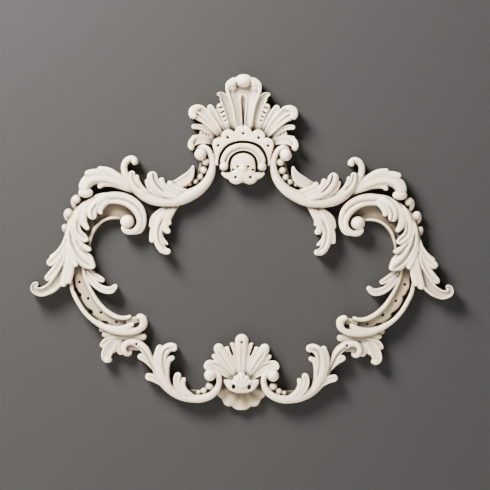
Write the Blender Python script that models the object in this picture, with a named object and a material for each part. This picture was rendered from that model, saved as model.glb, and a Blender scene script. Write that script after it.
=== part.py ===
# A rococo relief frame, cast in one piece with a flat back: a palmette crest, leafy scrolls down both
# sides, ribboned bands, and a shell at the foot. Metres, +Z up; the front faces -Y, and the back lies
# on Y = 0. The origin is on the flat back of the crest, just above its arch.

import math

import bmesh
import bpy
import numpy as np

# Driving dimensions
frame_width = 0.848          # from leaf hook to leaf hook
relief_depth = 0.044         # from the wall to the knob of the crest
back_overrun = 0.003         # how far the raw castings run behind the wall before the back is cut flat
casting_cell = 0.0021        # the finest step that the casting keeps
facet_share = 0.0240         # share of the casting's faces that the solid keeps

# The design is drawn on a sheet with its own units, about a millimetre each: x to the side and z up
# from the origin, and h out from the wall. Only the left half is drawn; the right half mirrors it.
drawing_width = 848.0
drawing_depth = 44.0
station_step = 4.0           # between two stations along a leaf
tip_stations = 5             # stations in the rounded end of a leaf
dome_sides = 16              # corners round a bead or a ball
dome_rings = 4               # rings from a ball's foot to its crown

plaster_colour = (0.81, 0.78, 0.72, 1.0)
plaster_roughness = 0.62

# Cross-sections: places across a leaf from its left edge (-1) to its right (1), the share of the full
# relief at each, and how deep the section falls at its edge as a share of the leaf's width.
sections = {
    "round": ((-1, -0.9, -0.55, 0, 0.55, 0.9, 1), (0, 0.42, 0.83, 1, 0.83, 0.42, 0), 0.42),
    "soft": ((-1, -0.85, -0.45, 0, 0.45, 0.85, 1), (0, 0.42, 0.85, 1, 0.85, 0.42, 0), 0.36),
    "flat": ((-1, -0.85, 0, 0.85, 1), (0, 1, 1, 1, 0), 0.10),
    "gouged": ((-1, -0.85, -0.6, 0, 0.6, 0.85, 1), (0, 0.7, 1, 0.48, 1, 0.7, 0), 0.34),
    "rimmed": ((-1, -0.85, -0.68, -0.3, 0.3, 0.68, 0.85, 1), (0.1, 0.8, 1, 0.15, 0.15, 1, 0.8, 0.1), 0.40),
    "veined": (
        (-1, -0.85, -0.5, -0.15, 0, 0.15, 0.5, 0.85, 1), (0, 0.5, 0.85, 0.95, 0.5, 0.95, 0.85, 0.5, 0), 0.32),
    "hollow": ((-1, -0.85, -0.7, -0.3, 0.3, 0.7, 0.85, 1), (0.3, 1, 0.9, 0.2, 0.2, 0.9, 1, 0.3), 0.30),
    "high left": ((-1, -0.85, -0.6, -0.1, 0.5, 1), (0.1, 0.8, 1, 0.75, 0.5, 0.1), 0.38),
    "high right": ((-1, -0.5, 0.1, 0.6, 0.85, 1), (0.1, 0.5, 0.75, 1, 0.8, 0.1), 0.38),
}

# Each leaf: its section, its height at the root and at the tip, and its midrib as points (x, z, width).
wing_leaves = {
    "main scroll": ("round", 29, 29, (
        (-92, -15, 6), (-82, -14, 8), (-71, -19, 9), (-63.5, -30, 11), (-60, -45, 12.5), (-62.5, -61, 15.5),
        (-72, -82, 18), (-87, -98, 21), (-108, -110, 25), (-132, -121, 21), (-155, -124, 18),
        (-177, -120, 22), (-197, -111, 24), (-213, -98, 22), (-228, -81, 17), (-238.5, -63, 14),
        (-238, -48, 13), (-230, -39, 14), (-220, -41, 15), (-217.5, -50, 9))),
    "first lobe": ("soft", 27, 31, ((-106, -99, 8), (-125, -98, 9), (-141, -92, 10), (-151.5, -81, 9))),
    "second lobe": ("soft", 28, 33, (
        (-114, -105, 9), (-138, -103, 10), (-154, -95, 11), (-163, -84, 11), (-163, -74.5, 10))),
    "third lobe": ("veined", 29, 36, (
        (-120, -112, 12), (-146, -110, 14), (-165, -101, 16), (-177, -88, 18), (-181.5, -74, 21),
        (-181.5, -62, 18))),
    "third lobe tooth": ("soft", 27, 29, (
        (-150, -114, 8), (-172, -107, 9), (-187, -94, 11), (-197.5, -76.5, 7))),
    "fourth lobe": ("soft", 28, 31, (
        (-186, -109, 8), (-199, -101, 10), (-209, -90, 10), (-213.5, -79, 9), (-213.5, -69.5, 8))),
    "fifth lobe": ("gouged", 29, 33, (
        (-196, -109, 9), (-211, -99, 12), (-220, -87, 12), (-223.5, -74, 12), (-223, -60, 11))),
    "horn": ("hollow", 20, 31, (
        (-151, -82, 3), (-138, -84, 13), (-121, -79, 21), (-108, -69, 19), (-102, -58, 10),
        (-101, -49, 3))),
    "bead channel": ("flat", 11, 11, (
        (-76, -30, 14), (-77, -45, 18), (-80, -60, 17), (-87, -74, 16), (-98, -84, 14), (-112, -90, 8))),
    "bead channel rim": ("soft", 19, 17, ((-86, -40, 4), (-86.5, -55, 4), (-90, -67, 4), (-98, -78, 4))),
    "upper leaf": ("high left", 26, 32, (
        (-216, -101, 18), (-236, -91, 24), (-256, -82, 28), (-276, -77, 29), (-295, -77, 27),
        (-311, -86, 25), (-317, -100, 26))),
    "upper leaf first tooth": ("high right", 26, 31, (
        (-236, -89, 8), (-254, -74, 14), (-272, -63, 17), (-294, -56, 9))),
    "upper leaf second tooth": ("high right", 27, 32, (
        (-262, -74, 10), (-282, -68, 13), (-302, -65, 12), (-319, -69, 8))),
    "upper leaf lower tooth": ("soft", 24, 27, (
        (-235, -97, 8), (-258, -90, 10), (-277, -87, 11), (-289.5, -98, 7))),
}

hanging_leaves = {
    "outer tooth": ("high right", 18, 22, (
        (-146, -130, 12), (-165, -145, 15), (-179, -158, 13), (-187, -175, 6))),
    "second tooth": ("soft", 20, 25, (
        (-152, -140, 12), (-171, -160, 14), (-180.5, -184, 13), (-182, -207, 9))),
    "middle lobe": ("veined", 20, 33, (
        (-148, -134, 14), (-163, -156, 17), (-171, -182, 18), (-168, -205, 17), (-158, -221, 15),
        (-143.5, -224, 9))),
    "middle lobe tooth": ("soft", 24, 28, (
        (-158, -158, 8), (-165.5, -180, 9), (-162.5, -196, 9), (-150, -210, 6))),
    "inner lobe": ("gouged", 19, 28, (
        (-140, -130, 12), (-150, -149, 12), (-154, -168, 11), (-153.5, -182, 11), (-144, -185, 8))),
    "inner lobe tooth": ("soft", 18, 24, (
        (-133, -128, 12), (-143, -146, 10), (-148, -160, 8), (-143, -170, 4))),
}

corner_leaves = {
    "cove": ("flat", 10, 10, (
        (-222, -150, 20), (-245, -143, 28), (-266, -143, 30), (-285, -150, 30), (-300, -168, 26),
        (-312, -195, 20), (-318, -220, 18))),
    "cove rim": ("soft", 21, 18, (
        (-242, -158.5, 4), (-255, -156.5, 5), (-268, -157.5, 5), (-280, -162, 5.5), (-291, -170.5, 6),
        (-299, -181, 6.5), (-304.5, -195, 6.5), (-308, -210, 5.5), (-309, -222, 4))),
    "outer rail": ("round", 27, 27, (
        (-270, -113, 16), (-255, -112, 17), (-235, -115, 16), (-216, -124.5, 14), (-203.5, -138, 12),
        (-198, -155, 10), (-198.5, -170, 9), (-205, -181.5, 9), (-218, -187, 6))),
    "inner rail": ("round", 27, 31, (
        (-268, -124.5, 6), (-250, -124.5, 7), (-232, -129.5, 10), (-218.5, -139.5, 12), (-209, -153, 13),
        (-206.5, -167, 13), (-211.5, -178, 13.5), (-222, -184, 12), (-233.5, -182.5, 12),
        (-241.5, -173, 9))),
    "leaf mass": ("soft", 25, 24, (
        (-258, -112, 14), (-284, -117, 20), (-308, -130, 24), (-328, -150, 26), (-340, -176, 26),
        (-344, -204, 24), (-345, -230, 20))),
    "first lobe": ("soft", 28, 32, (
        (-256, -118, 7), (-274, -121.5, 10), (-285, -132, 11), (-286, -149.5, 10))),
    "second lobe": ("gouged", 28, 33, (
        (-266, -112, 8), (-288, -118.5, 12), (-301, -133, 15), (-303.5, -150, 15), (-296.5, -166, 12))),
    "third lobe": ("soft", 28, 31, (
        (-296, -113, 8), (-314, -130, 12), (-321.5, -150, 14), (-319.5, -169, 13), (-308, -181, 8))),
    "fourth lobe": ("gouged", 28, 31, (
        (-314, -126, 8), (-330, -146, 13), (-335, -168, 15), (-329, -188, 16), (-307, -199, 13))),
    "flap upper lobe": ("soft", 28, 31, (
        (-336, -146, 10), (-345, -174, 14), (-338, -199, 19), (-322, -213, 15), (-302, -221, 8))),
    "flap": ("high left", 27, 34, (
        (-345, -165, 10), (-349, -190, 15), (-341, -214, 21), (-326, -233, 28), (-309, -246, 28),
        (-294.5, -259, 9))),
    "flap lower lobe": ("soft", 27, 31, (
        (-350, -195, 10), (-347, -219, 14), (-339, -238, 14), (-333, -256, 9))),
    "upper husk": ("soft", 16, 14, ((-324, -117, 18), (-331, -128, 16), (-338, -140, 6))),
    "lower husk": ("soft", 16, 13, ((-343, -144, 16), (-350, -156, 14), (-355, -168, 5))),
}

side_leaves = {
    "top tooth": ("soft", 25, 26, ((-360, -216, 7), (-373, -231, 8), (-387, -238, 6))),
    "first leaf": ("gouged", 26, 27, (
        (-354, -190, 8), (-359, -214, 13), (-371, -233, 16), (-392, -254, 14))),
    "second leaf": ("gouged", 26, 27, (
        (-352, -208, 10), (-361, -237, 14), (-374, -262, 17), (-395, -284, 11))),
    "hooked leaf": ("rimmed", 27, 32, (
        (-348, -218, 14), (-355, -252, 20), (-369, -281, 24), (-389, -301, 20), (-406, -306.5, 18),
        (-418, -301, 14), (-415, -291, 9), (-409, -293, 7))),
    "fourth leaf": ("soft", 28, 30, (
        (-346, -222, 10), (-350, -252, 14), (-356, -278, 15), (-361, -297, 12))),
    "fifth leaf": ("gouged", 28, 30, (
        (-342, -225, 10), (-342, -250, 13), (-346, -272, 14), (-350.5, -291, 10))),
    "inner upper leaf": ("gouged", 18, 25, (
        (-322, -255, 13), (-308, -267, 15), (-293, -278, 13), (-275, -284, 8))),
    "inner lower leaf": ("gouged", 18, 31, (
        (-324, -258, 12), (-312, -277, 14), (-297, -292, 15), (-280, -301, 14), (-262, -303, 13),
        (-250.5, -290, 7))),
}

band_leaves = {
    "outer rail": ("round", 22, 30, (
        (-345, -280, 7), (-341, -304, 8), (-330, -327, 9), (-314, -348, 10), (-296, -364, 11),
        (-275, -376.5, 13), (-252, -384, 14), (-228, -385.5, 14), (-210, -381, 14), (-197.5, -370, 14),
        (-197, -358.5, 13), (-206, -353, 10), (-212, -359, 8))),
    "tongue": ("soft", 22, 28, ((-275, -373, 4), (-252, -378, 10), (-233, -377, 14), (-213, -364.5, 7))),
    "channel": ("flat", 8, 8, (
        (-333, -255, 20), (-333, -282, 26), (-322, -310, 30), (-304, -336, 30), (-282, -357, 28),
        (-256, -368, 22), (-232, -366, 16), (-212, -362, 14))),
    "ribbon": ("flat", 16, 16, (
        (-329, -255, 14), (-326, -280, 20), (-314, -307, 22), (-297, -332, 22), (-277, -352, 20),
        (-254, -364, 16), (-234, -366, 11), (-219, -361, 6))),
    "inner rail": ("round", 21, 24, (
        (-322, -256, 5), (-314, -282, 6), (-301, -310, 7), (-285, -334, 7), (-266, -350, 7.5),
        (-248, -358, 7.5), (-234, -359.5, 7), (-221.5, -353.5, 6))),
    "first scallop": ("flat", 16, 16, ((-337, -282, 5), (-334, -296, 10), (-328, -308, 6))),
    "second scallop": ("flat", 16, 16, ((-326, -311, 6), (-318, -328, 13), (-305, -342, 6))),
    "third scallop": ("flat", 16, 16, ((-303, -345, 6), (-289, -358, 12), (-273, -367, 6))),
}

link_leaves = {
    "knob bar": ("soft", 14, 20, (
        (-266, -390, 10), (-240, -396.5, 9), (-218, -396, 10), (-203, -395, 15), (-190.5, -395, 15))),
    "upper tooth": ("soft", 13, 13, ((-262, -383, 10), (-275, -380, 12), (-287, -378, 8))),
    "middle tooth": ("soft", 14, 15, ((-252, -391, 10), (-267, -387, 13), (-281.5, -391, 8))),
    "lower tooth": ("gouged", 16, 19, (
        (-243, -399, 12), (-261, -402, 14), (-275, -407, 14), (-284.5, -417, 7))),
    "curled lobe": ("rimmed", 16, 27, (
        (-243, -399, 12), (-259, -409, 20), (-269, -424, 22), (-271, -438, 19), (-262, -442, 12))),
    "inner tooth": ("soft", 17, 19, ((-246, -401, 8), (-256, -413, 8), (-257.5, -429, 6))),
    "sliver": ("soft", 16, 19, ((-238, -398, 8), (-247, -410, 9), (-248, -421, 9), (-240, -431, 6))),
}

spray_leaves = {
    "main scroll": ("round", 26, 30, (
        (-221, -425, 7), (-228, -430.5, 8), (-236, -426, 9), (-237.5, -416, 9), (-232, -407.5, 10),
        (-220, -406.5, 12), (-206, -411, 16), (-194, -422, 16), (-184, -438, 14), (-175, -456, 12),
        (-166, -474, 15), (-153, -490, 20), (-137, -503, 20), (-118, -513.5, 18), (-98, -519, 15),
        (-78, -518.5, 14), (-60, -510.5, 13), (-48, -498, 12), (-44, -482, 11), (-47.5, -468, 11),
        (-58, -460.5, 8))),
    "eye floor": ("flat", 13, 13, ((-229, -417, 12), (-223.5, -415.5, 11), (-218, -414, 10))),
    "outer leaf": ("gouged", 24, 26, (
        (-166, -467, 6), (-178, -452, 12), (-191, -440, 15), (-209, -432, 12))),
    "tall leaf": ("soft", 29, 37, (
        (-149, -493, 12), (-159, -470, 18), (-162.5, -445, 20), (-156.5, -425, 20), (-143, -414.5, 16),
        (-128.5, -418, 12))),
    "tall leaf outer lobe": ("soft", 28, 31, (
        (-160, -482, 8), (-169.5, -457, 10), (-170.5, -434, 11), (-162, -409.5, 11))),
    "tall leaf inner lobe": ("gouged", 27, 30, (
        (-146, -495, 8), (-151.5, -472, 12), (-150.5, -452, 12), (-146, -439, 12), (-134.5, -434.5, 9))),
    "low leaf": ("gouged", 26, 28, (
        (-153, -492, 8), (-168, -480, 12), (-181, -475, 14), (-193.5, -475, 12))),
    "inner leaf": ("gouged", 28, 32, (
        (-114, -513, 8), (-127, -498, 10), (-130.5, -483, 12), (-126, -465, 13))),
    "inner leaf lobe": ("soft", 27, 30, (
        (-102, -512, 8), (-113, -503, 10), (-119, -490, 11), (-114.5, -475.5, 8))),
    "bead channel": ("flat", 12, 12, (
        (-104, -506, 8), (-86, -508, 11), (-70, -502, 15), (-60, -489, 15), (-58, -477, 12))),
}

shell_leaves = {
    "inner tooth": ("soft", 23, 28, ((-6, -468, 8), (-13, -435, 11), (-22.5, -402, 9))),
    "slanting lobe": ("veined", 22, 34, (
        (-10, -478, 14), (-26, -449, 20), (-40, -430, 24), (-52, -409.5, 23))),
    "slanting inner rib": ("gouged", 23, 29, ((-9, -472, 8), (-21, -441, 13), (-32.5, -411, 11))),
    "slanting outer rib": ("soft", 22, 27, ((-15, -468, 8), (-35, -448, 11), (-60, -429.5, 7))),
    "side tooth": ("soft", 22, 27, ((-20, -468, 8), (-38, -450, 11), (-58, -441.5, 7))),
    "side lobe": ("high left", 21, 30, (
        (-20, -474, 10), (-36, -461, 16), (-52, -452, 18), (-67, -450, 15), (-73, -459, 8))),
    "foot flute": ("gouged", 8, 15, ((-8, -490, 12), (-20, -512, 22), (-31, -533.5, 22))),
    "outer foot flute": ("gouged", 8, 14, ((-22, -485, 10), (-36, -502, 14), (-49, -515, 12))),
}

shell_centre_leaves = {
    "centre lobe": ("veined", 22, 34, ((0, -478, 16), (0, -440, 24), (0, -408, 27), (0, -386.5, 25))),
    "centre foot flute": ("gouged", 8, 16, ((0, -485, 14), (0, -512, 30), (0, -541.5, 34))),
    "palmette plate": ("flat", 24, 26, ((0, -505, 40), (0, -485, 46), (0, -470, 30))),
}

crest_leaves = {
    "top lobe rim": ("soft", 29, 38, (
        (-18, 22, 5), (-20, 46, 5), (-24, 70, 5), (-30, 88, 6), (-34, 103, 6), (-32, 113, 8))),
    "slot rim": ("soft", 28, 31, ((-3, 26, 3), (-4.5, 50, 3.5), (-7, 80, 4), (-6.5, 90, 4), (0, 95, 4))),
    "first leaf": ("high left", 24, 33, ((-23, 18, 14), (-29, 48, 19), (-36, 75, 20), (-48, 95.5, 15))),
    "ribbed leaf": ("soft", 23, 31, ((-32, 18, 10), (-40, 43, 13), (-46.5, 60, 14), (-50, 74, 12))),
    "second leaf": ("gouged", 22, 31, ((-40, 14, 10), (-53, 41, 16), (-62, 57, 16), (-71.5, 73, 12))),
    "slanting lobe": ("veined", 22, 34, (
        (-42, 8, 14), (-60, 31, 24), (-78, 47, 32), (-92, 56, 34), (-106, 61, 30))),
    "third leaf": ("gouged", 21, 28, ((-50, 6, 10), (-70, 19, 13), (-88, 27, 13), (-105.5, 28, 9))),
    "ribbed sliver": ("soft", 20, 24, ((-52, 2, 8), (-70, 10, 11), (-89, 16.5, 7))),
    "lowest lobe tooth": ("soft", 21, 26, ((-60, 4, 7), (-82, 8, 8), (-104, 6.5, 6))),
    "lowest lobe": ("rimmed", 20, 31, (
        (-56, -4, 16), (-74, 1, 17), (-91, 1, 19), (-103.5, -7, 17), (-103, -23, 10))),
    "scalloped plate": ("soft", 27, 31, (
        (-54, -47, 14), (-51, -26, 24), (-41, -8, 30), (-22, 4, 32), (3, 9, 34))),
    "small shell ear": ("soft", 26, 29, (
        (-8, -66, 16), (-24, -67.5, 14), (-36, -67.5, 12), (-43.5, -69, 11))),
}

crest_centre_leaves = {
    "top lobe": ("hollow", 25, 35, (
        (0, 10, 36), (0, 40, 37), (0, 70, 47), (0, 92, 62), (0, 108, 70), (0, 124, 62))),
    "backing": ("flat", 14, 14, ((0, -62, 90), (0, -30, 94), (0, 0, 84), (0, 14, 50))),
}

# Balls and volute eyes: x, z, half width, half height, height above the wall.
wing_balls = ((-87, -26, 13.3, 13.3, 36), (-219.5, -43.5, 8, 8.5, 37), (-315, -107, 15, 10, 36))
corner_balls = (
    (-231, -164, 14.2, 13.6, 37), (-334, -121, 11.5, 11.5, 23), (-351.5, -149, 11, 11, 22),
    (-358.5, -178, 7.5, 9, 20))
link_balls = ((-269, -441, 9.5, 7, 27),)
spray_balls = ((-63, -470.5, 11.8, 12, 37),)
shell_balls = ((-14, -480, 5.5, 5.5, 34),)
shell_centre_balls = ((0, -480, 10, 12, 37),)
crest_balls = (
    (-24, 109, 12.5, 13, 38), (-101, 58, 9.5, 14, 38), (-94, 67, 9, 5, 36), (-37, -50, 9.5, 10, 35),
    (-14, -75.5, 13, 11.5, 30), (-31, 7, 15, 15, 31), (-50, -8, 12.5, 13, 30))
crest_centre_balls = (
    (0, 119, 20, 14.5, 44), (0, 14, 17.5, 17, 32), (0, -47, 26, 23.5, 29), (0, -62, 12, 16, 38))

# Rows of beads that shrink along a channel: first and last bead as (x, z, radius), a point that the row
# bends towards, and the number of beads.
wing_beads = ((-75, -43, 8.4), (-107, -87, 4.4), (-81, -79), 5, 26)
spray_beads = ((-63, -493, 8.4), (-86, -506, 4.8), (-74.5, -504.5), 3, 26)

# The arch over the crest's disc: middle, and each moulding's half width, half height, width and height.
arch_middle = (0.0, -47.0)
arch_mouldings = ((42.5, 37.0, 8.5, 31), (32.0, 28.0, 7.0, 29))
arch_reach = 105.0           # degrees from the top to each end
crescent_middle = (0.0, -470.0)
crescent_moulding = (31.0, 28.5, 13.0, 31)
crescent_reach = 100.0       # degrees from the bottom to each end
arc_stations = 15


def midrib(points, rows):
    """Stations (x, z, width) at even steps along a smooth curve through the points."""
    rough = np.array(points, float)
    steps = np.hypot(np.diff(rough[:, 0]), np.diff(rough[:, 1]))
    reached = np.concatenate(([0.0], np.cumsum(steps)))
    slopes = np.gradient(rough, reached, axis=0)
    fine = np.linspace(0.0, reached[-1], 8 * rows)
    left = np.clip(np.searchsorted(reached, fine, side="right") - 1, 0, len(points) - 2)
    span = (reached[left + 1] - reached[left])[:, None]
    t = (fine - reached[left])[:, None] / span
    curve = (
        (2 * t**3 - 3 * t**2 + 1) * rough[left] + (t**3 - 2 * t**2 + t) * span * slopes[left]
        + (3 * t**2 - 2 * t**3) * rough[left + 1] + (t**3 - t**2) * span * slopes[left + 1])
    walked = np.concatenate(([0.0], np.cumsum(np.hypot(np.diff(curve[:, 0]), np.diff(curve[:, 1])))))
    return curve, walked


def stations(length, end_radius):
    """Places along a leaf: even steps, then closer ones round its end."""
    body = np.linspace(0.0, length - end_radius, max(3, int((length - end_radius) / station_step)))
    turn = np.linspace(0.0, math.pi / 2, tip_stations + 1)[1:]
    return np.concatenate((body, length - end_radius + end_radius * np.sin(turn)))


def close_slab(shape, front, back):
    """Joins a front sheet of points and its shadow behind the wall into one closed body."""
    rows, columns = front.shape[:2]
    sheets = []
    for sheet in (front, back):
        sheets.append([[shape.verts.new(point) for point in row] for row in sheet])
    for i in range(rows - 1):
        for j in range(columns - 1):
            for k, sheet in enumerate(sheets):
                corners = (sheet[i][j], sheet[i][j + 1], sheet[i + 1][j + 1], sheet[i + 1][j])
                shape.faces.new(corners if k else corners[::-1])
    rim = [(i, 0) for i in range(rows)] + [(rows - 1, j) for j in range(1, columns)]
    rim += [(i, columns - 1) for i in range(rows - 2, -1, -1)] + [(0, j) for j in range(columns - 2, 0, -1)]
    for (i, j), (k, m) in zip(rim, rim[1:] + rim[:1]):
        shape.faces.new((sheets[0][i][j], sheets[0][k][m], sheets[1][k][m], sheets[1][i][j]))


def to_world(x, z, height):
    """Points on the sheet, in metres in the world."""
    across = frame_width / drawing_width
    out = relief_depth / drawing_depth
    return np.stack(np.broadcast_arrays(x * across, -height * out, z * across), axis=-1)


def add_leaf(shape, side, section, root_height, tip_height, points):
    """One leaf, lobe or moulding: its section carried along the midrib and down to the wall."""
    rows = max(6, len(points) * 4)
    curve, walked = midrib(points, rows)
    length = walked[-1]
    end_radius = min(points[-1][2] / 2, 0.45 * length)
    along = stations(length, end_radius)
    x, z, width = (np.interp(along, walked, curve[:, k]) for k in range(3))
    heading_x = np.interp(along, walked, np.gradient(curve[:, 0], walked + np.arange(len(walked)) * 1e-9))
    heading_z = np.interp(along, walked, np.gradient(curve[:, 1], walked + np.arange(len(walked)) * 1e-9))
    size = np.hypot(heading_x, heading_z)
    left_x, left_z = -heading_z / size, heading_x / size
    near_end = np.clip((along - (length - end_radius)) / end_radius, 0.0, 1.0)
    narrowing = np.sqrt(1.0 - np.minimum(near_end, 0.999) ** 2)
    places, relief, fall = sections[section]
    places, relief = -np.array(places, float), np.array(relief, float)
    half = (width / 2 * narrowing)[:, None] * places
    crest = root_height + (tip_height - root_height) * along / length
    height = crest[:, None] - fall * width[:, None] * (1.0 - relief * narrowing[:, None] ** 0.8)
    sheet_x = side * (x[:, None] + left_x[:, None] * half)
    sheet_z = z[:, None] + left_z[:, None] * half
    front = to_world(sheet_x, sheet_z, height)
    back = front.copy()
    back[..., 1] = back_overrun
    if side < 0:
        front, back = front[:, ::-1], back[:, ::-1]
    close_slab(shape, front, back)


def add_dome(shape, x, z, half_width, half_height, top):
    """A ball's front half on a straight foot down to the wall."""
    radius = min(half_width, half_height)
    rise = np.linspace(0.0, math.pi / 2, dome_rings + 1)[:-1]
    round_ = np.arange(dome_sides) * 2 * math.pi / dome_sides
    rings = []
    foot = to_world(x + half_width * np.cos(round_), z + half_height * np.sin(round_), np.zeros(dome_sides))
    foot[:, 1] = back_overrun
    rings.append([shape.verts.new(point) for point in foot])
    for angle in rise:
        ring = to_world(
            x + half_width * math.cos(angle) * np.cos(round_),
            z + half_height * math.cos(angle) * np.sin(round_),
            np.full(dome_sides, top - radius + radius * math.sin(angle)))
        rings.append([shape.verts.new(point) for point in ring])
    for lower, upper in zip(rings, rings[1:]):
        for i in range(dome_sides):
            k = (i + 1) % dome_sides
            shape.faces.new((lower[i], lower[k], upper[k], upper[i]))
    shape.faces.new(rings[-1])
    shape.faces.new(rings[0][::-1])


def add_leaves(shape, leaves):
    for section, root_height, tip_height, points in leaves.values():
        for side in (1, -1):
            add_leaf(shape, side, section, root_height, tip_height, points)


def add_centre_leaves(shape, leaves):
    for section, root_height, tip_height, points in leaves.values():
        add_leaf(shape, 1, section, root_height, tip_height, points)


def add_balls(shape, balls):
    for x, z, half_width, half_height, top in balls:
        for side in (1, -1):
            add_dome(shape, side * x, z, half_width, half_height, top)


def add_centre_balls(shape, balls):
    for ball in balls:
        add_dome(shape, *ball)


def add_beads(shape, first, last, bend, count, top):
    """Beads along a bent row, each smaller than the one before."""
    for i in range(count):
        t = i / (count - 1)
        x, z = ((1 - t) ** 2 * first[k] + 2 * t * (1 - t) * bend[k] + t * t * last[k] for k in range(2))
        radius = first[2] + (last[2] - first[2]) * t
        for side in (1, -1):
            add_dome(shape, side * x, z, radius, radius, top - (first[2] - radius))


def add_arc(shape, middle, half_width, half_height, width, height, reach, upward):
    """A round moulding along an arc of an ellipse, open below (upward 1) or above (upward -1)."""
    turn = np.radians(np.linspace(-reach, reach, arc_stations))
    points = []
    for angle in turn:
        x = middle[0] + half_width * math.sin(angle)
        z = middle[1] + upward * half_height * math.cos(angle)
        points.append((x, z, width))
    add_leaf(shape, 1, "round", height, height, points)


def build_crest(shape):
    add_centre_leaves(shape, crest_centre_leaves)
    add_leaves(shape, crest_leaves)
    add_balls(shape, crest_balls)
    add_centre_balls(shape, crest_centre_balls)
    for moulding in arch_mouldings:
        add_arc(shape, arch_middle, *moulding, arch_reach, 1)


def build_wings(shape):
    add_leaves(shape, wing_leaves)
    add_leaves(shape, hanging_leaves)
    add_balls(shape, wing_balls)
    add_beads(shape, *wing_beads)


def build_corners(shape):
    add_leaves(shape, corner_leaves)
    add_balls(shape, corner_balls)
    add_leaves(shape, side_leaves)


def build_bands(shape):
    add_leaves(shape, band_leaves)
    add_leaves(shape, link_leaves)
    add_balls(shape, link_balls)


def build_sprays(shape):
    add_leaves(shape, spray_leaves)
    add_balls(shape, spray_balls)
    add_beads(shape, *spray_beads)


def build_shell(shape):
    add_leaves(shape, shell_leaves)
    add_centre_leaves(shape, shell_centre_leaves)
    add_arc(shape, crescent_middle, *crescent_moulding, crescent_reach, -1)
    add_balls(shape, shell_balls)
    add_centre_balls(shape, shell_centre_balls)


def plaster():
    material = bpy.data.materials.new("warm white plaster")
    material.use_nodes = True
    shader = material.node_tree.nodes["Principled BSDF"]
    shader.inputs["Base Color"].default_value = plaster_colour
    shader.inputs["Roughness"].default_value = plaster_roughness
    shader.inputs["Metallic"].default_value = 0.0
    material.diffuse_color = plaster_colour
    return material


def back_cutter():
    """A block behind the wall that cuts the casting's back flat."""
    size = 2 * frame_width
    bpy.ops.mesh.primitive_cube_add(size=size, location=(0, size / 2, 0))
    cutter = bpy.context.object
    cutter.name = "back cutter"
    cutter.hide_render = True
    cutter.display_type = "WIRE"
    return cutter


def main():
    for old in list(bpy.data.objects):
        bpy.data.objects.remove(old)
    shape = bmesh.new()
    build_crest(shape)
    build_wings(shape)
    build_corners(shape)
    build_bands(shape)
    build_sprays(shape)
    build_shell(shape)
    mesh = bpy.data.meshes.new("rococo_frame")
    shape.to_mesh(mesh)
    shape.free()
    casting = bpy.data.objects.new("rococo_frame", mesh)
    bpy.context.scene.collection.objects.link(casting)
    mesh.materials.append(plaster())

    fuse = casting.modifiers.new("fuse", "REMESH")
    fuse.mode = "VOXEL"
    fuse.voxel_size = casting_cell
    fewer = casting.modifiers.new("fewer facets", "DECIMATE")
    fewer.ratio = facet_share
    flat = casting.modifiers.new("flat back", "BOOLEAN")
    flat.operation = "DIFFERENCE"
    flat.solver = "MANIFOLD"
    flat.object = back_cutter()


main()
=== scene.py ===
# Rococo relief frame in warm white casting plaster, hung on a plain wall.
import math

import bpy
import mathutils
import numpy as np
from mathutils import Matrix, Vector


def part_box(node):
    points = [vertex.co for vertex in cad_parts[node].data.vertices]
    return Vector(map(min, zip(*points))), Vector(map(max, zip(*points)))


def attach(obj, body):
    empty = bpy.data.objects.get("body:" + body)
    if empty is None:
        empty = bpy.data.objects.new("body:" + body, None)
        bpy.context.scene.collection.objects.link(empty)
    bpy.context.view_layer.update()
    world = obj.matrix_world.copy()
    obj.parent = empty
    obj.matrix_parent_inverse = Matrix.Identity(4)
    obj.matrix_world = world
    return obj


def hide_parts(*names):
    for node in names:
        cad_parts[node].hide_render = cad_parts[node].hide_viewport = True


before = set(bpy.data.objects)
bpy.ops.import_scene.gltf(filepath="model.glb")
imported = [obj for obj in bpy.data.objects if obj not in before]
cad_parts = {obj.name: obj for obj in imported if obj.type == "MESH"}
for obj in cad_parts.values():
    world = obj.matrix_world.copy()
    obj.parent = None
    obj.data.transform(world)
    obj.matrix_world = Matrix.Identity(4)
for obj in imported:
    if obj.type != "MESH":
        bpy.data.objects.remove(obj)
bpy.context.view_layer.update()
print("frame loaded")

mm = 0.001                      # the carving is drawn in millimetres: x, z on the wall and h out from it

# Cross-sections of a leaf: ridges and valleys across it (left edge -1, right edge 1), the share of the
# relief at each, and how deep the section falls at its edges as a share of the width.
sections = {
    "round": ((0,), (1,), 0.40),
    "soft": ((-0.25, 0.25), (1, 1), 0.27),
    "flat": ((-0.9, 0.9), (1, 1), 0.10),
    "gouged": ((-0.62, 0, 0.62), (1, 0.66, 1), 0.30),
    "rimmed": ((-0.76, -0.3, 0.3, 0.76), (1, 0.25, 0.25, 1), 0.36),
    "hollow": ((-0.84, -0.3, 0.3, 0.84), (1, 0.15, 0.15, 1), 0.30),
    "dish": ((-0.86, -0.4, 0.4, 0.86), (1, 0.3, 0.3, 1), 0.12),
    "leftRim": ((-0.86, -0.45, 0.7), (1, 0.45, 0.5), 0.18),
}

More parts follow.
